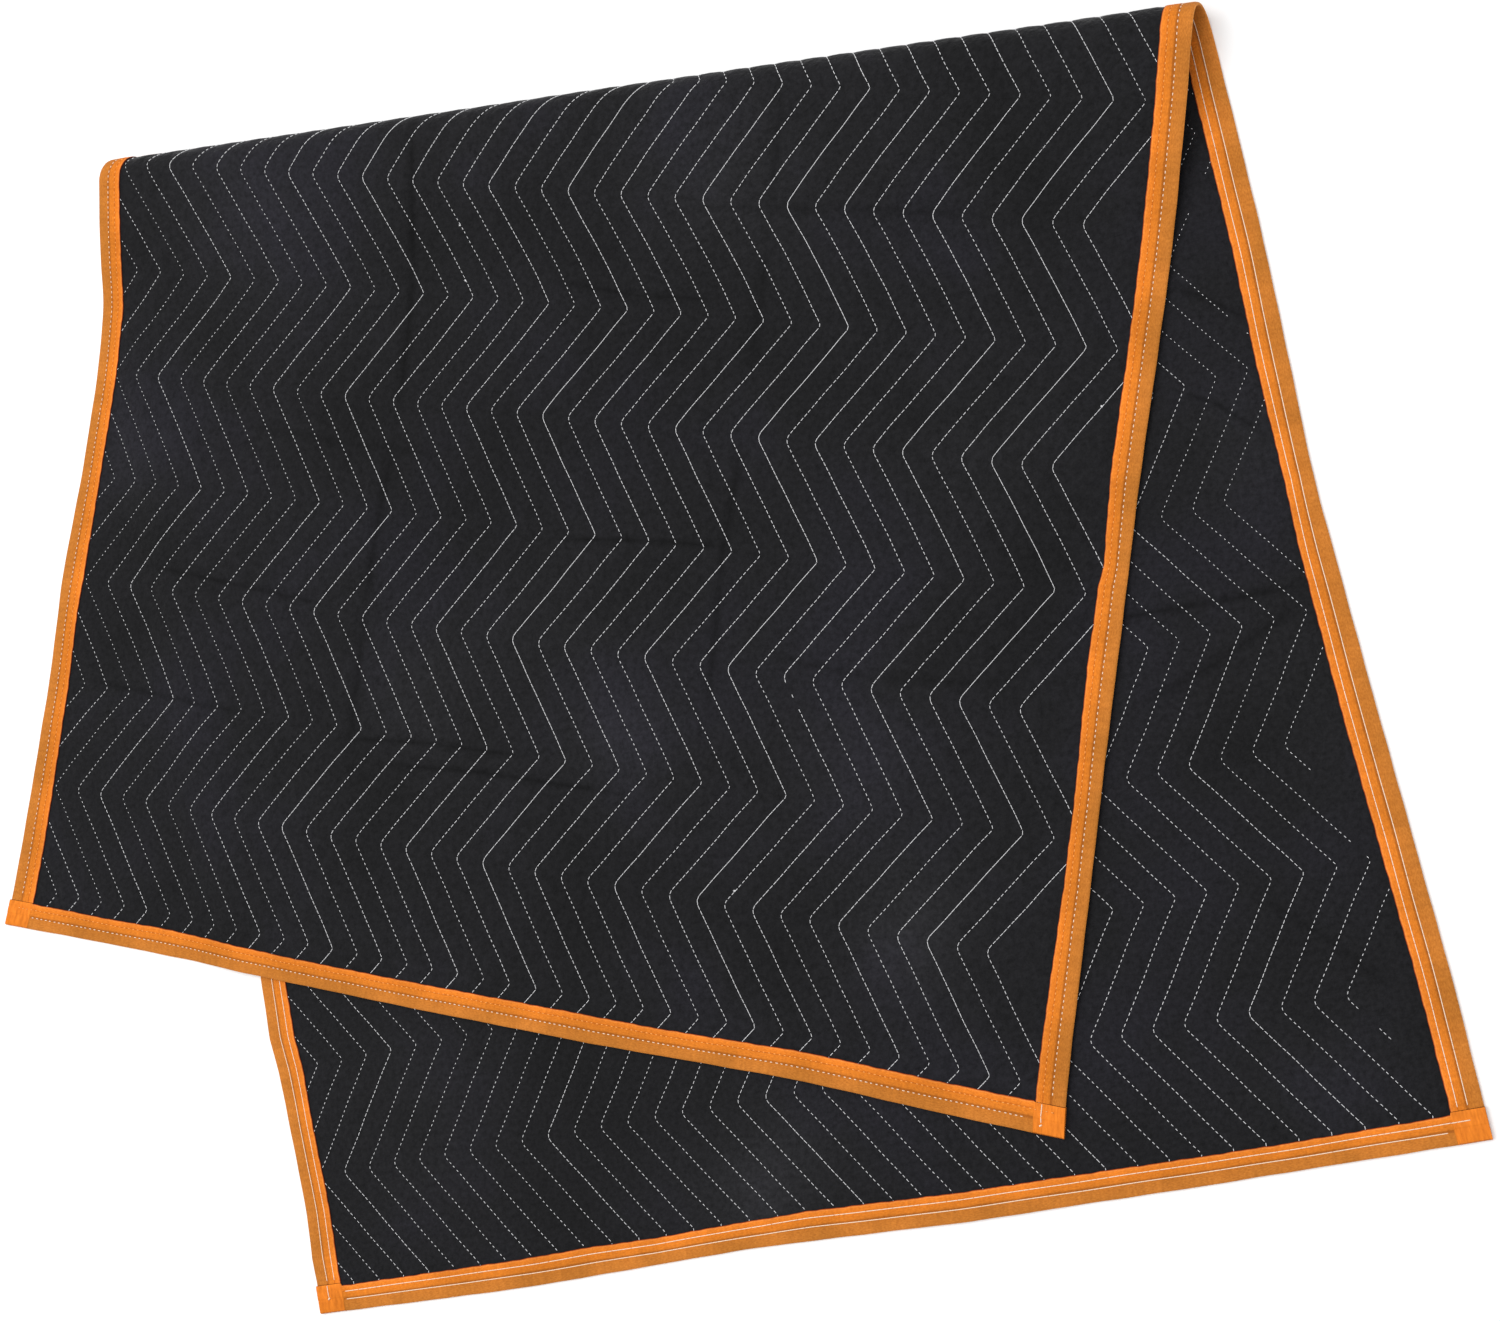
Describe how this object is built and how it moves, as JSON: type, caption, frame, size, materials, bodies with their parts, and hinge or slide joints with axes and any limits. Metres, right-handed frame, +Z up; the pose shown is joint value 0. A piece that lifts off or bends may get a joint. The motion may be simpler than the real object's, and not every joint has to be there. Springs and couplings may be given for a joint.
{
  "type": "folded moving pad",
  "caption": "Quilted furniture blanket for moving and storage, black with an orange bound edge and zigzag stitching, folded once at a slant and lying flat.",
  "frame": {"origin": "centre of the folded pad's bounding box, on the surface that it lies on", "axes": "+Z up, +X along the lower layer's end edge, towards its right long edge, +Y along the lower layer's long edges, towards the fold"},
  "size_m": [1.2812, 1.0842, 0.046],
  "materials": {
    "cloth": "matt non-woven cloth with white zigzag quilting",
    "binding": "matt woven binding tape"
  },
  "bodies": {
    "root": {"quilted_panel": "cloth", "side_binding_left": "binding", "side_binding_right": "binding", "end_binding_lower": "binding", "end_binding_upper": "binding"}
  },
  "joints": []
}
